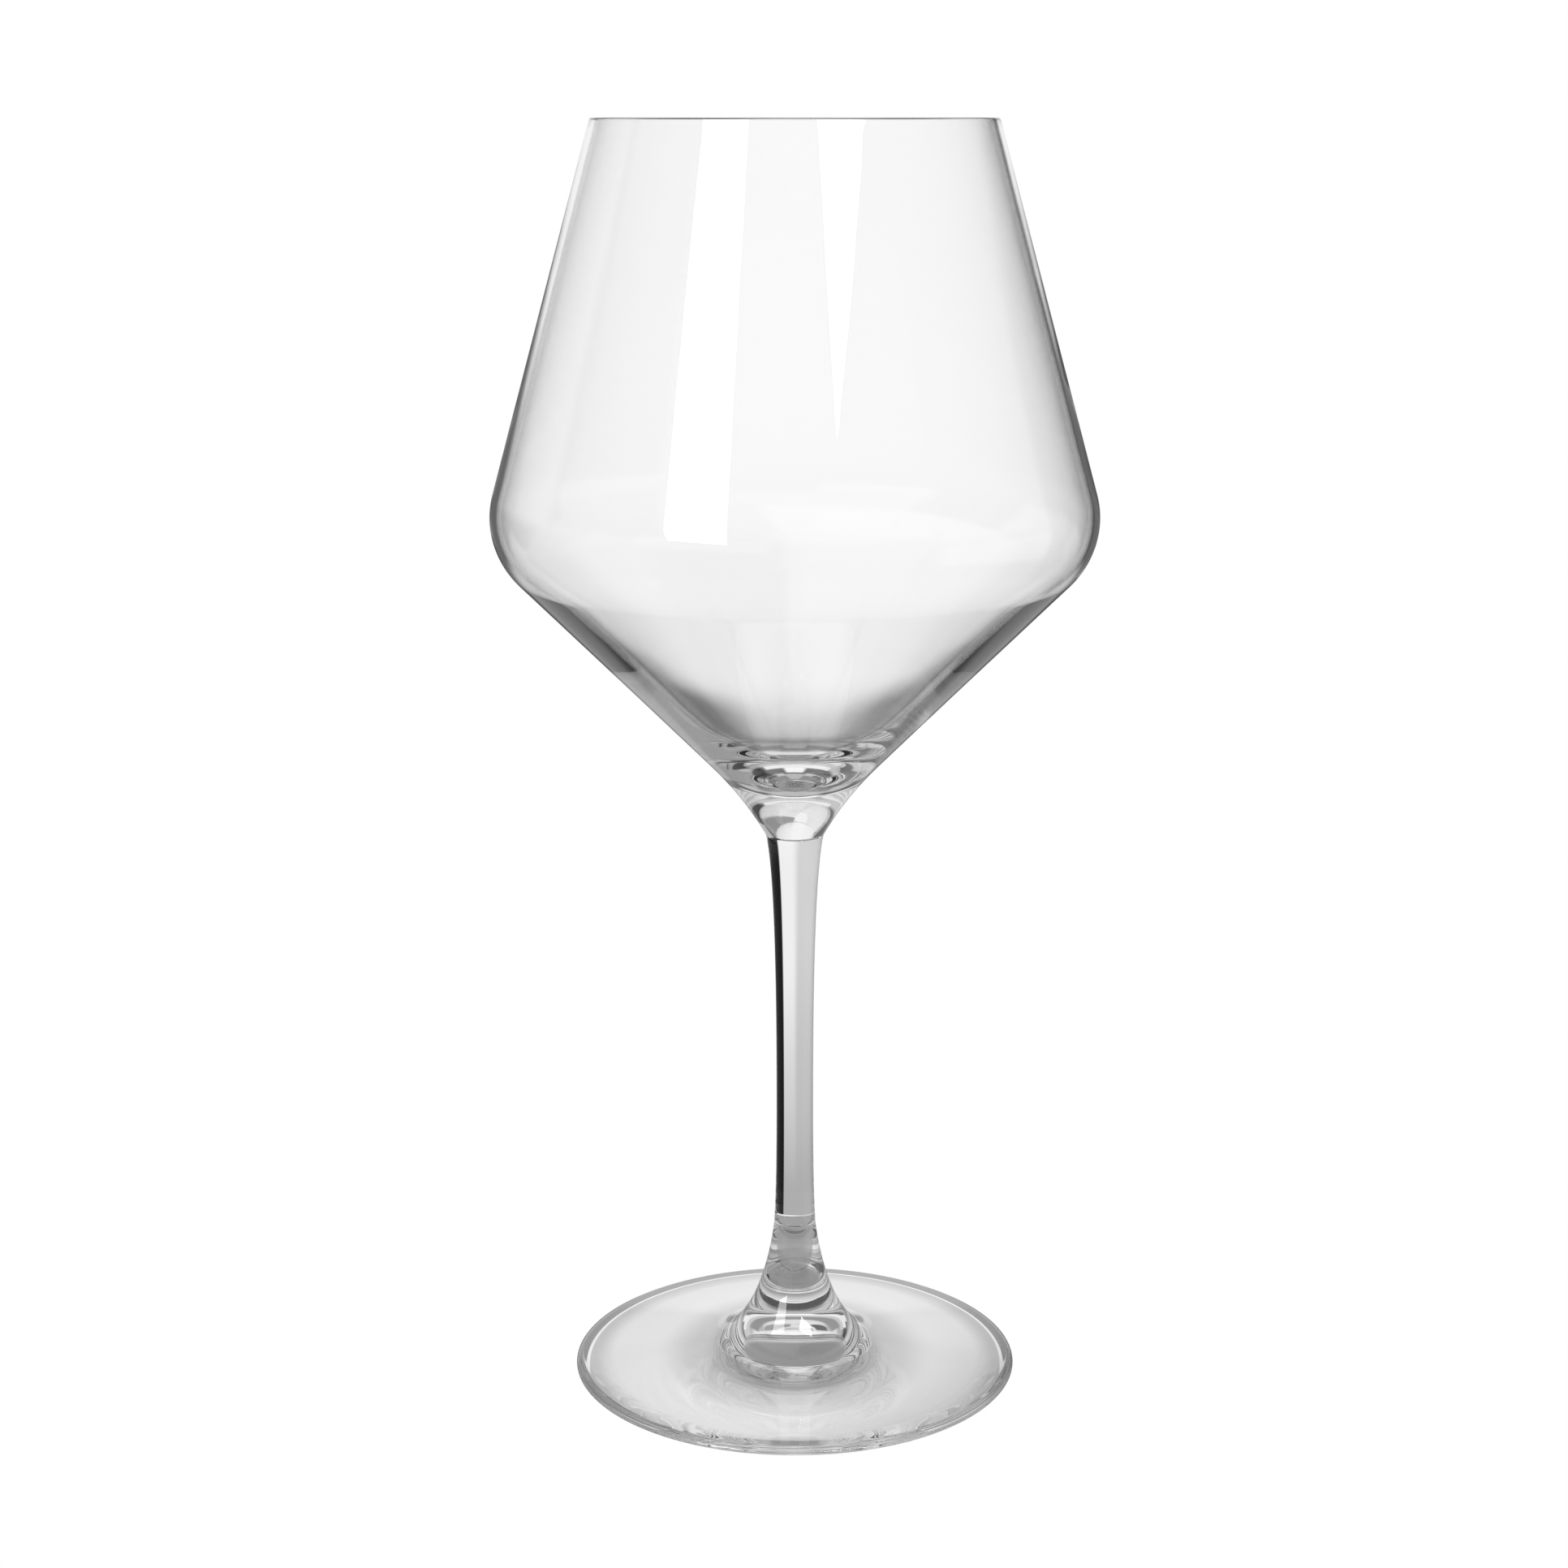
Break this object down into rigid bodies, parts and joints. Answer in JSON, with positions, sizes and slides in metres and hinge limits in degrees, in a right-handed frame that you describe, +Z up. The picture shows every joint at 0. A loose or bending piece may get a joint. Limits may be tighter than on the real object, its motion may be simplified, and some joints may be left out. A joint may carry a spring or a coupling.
{
  "type": "wine glass",
  "caption": "Tall clear wine glass: a wide angular bowl that narrows to its rim, a slim drawn stem and a flat round foot.",
  "frame": {"origin": "centre of the resting ring under the foot, on the table", "axes": "+Z up along the stem towards the rim; X and Y are free, because the glass is round"},
  "size_m": [0.1096, 0.1096, 0.234],
  "materials": {
    "clear_glass": "polished"
  },
  "bodies": {
    "root": {"bowl": "clear_glass", "stem": "clear_glass", "foot": "clear_glass"}
  },
  "joints": []
}
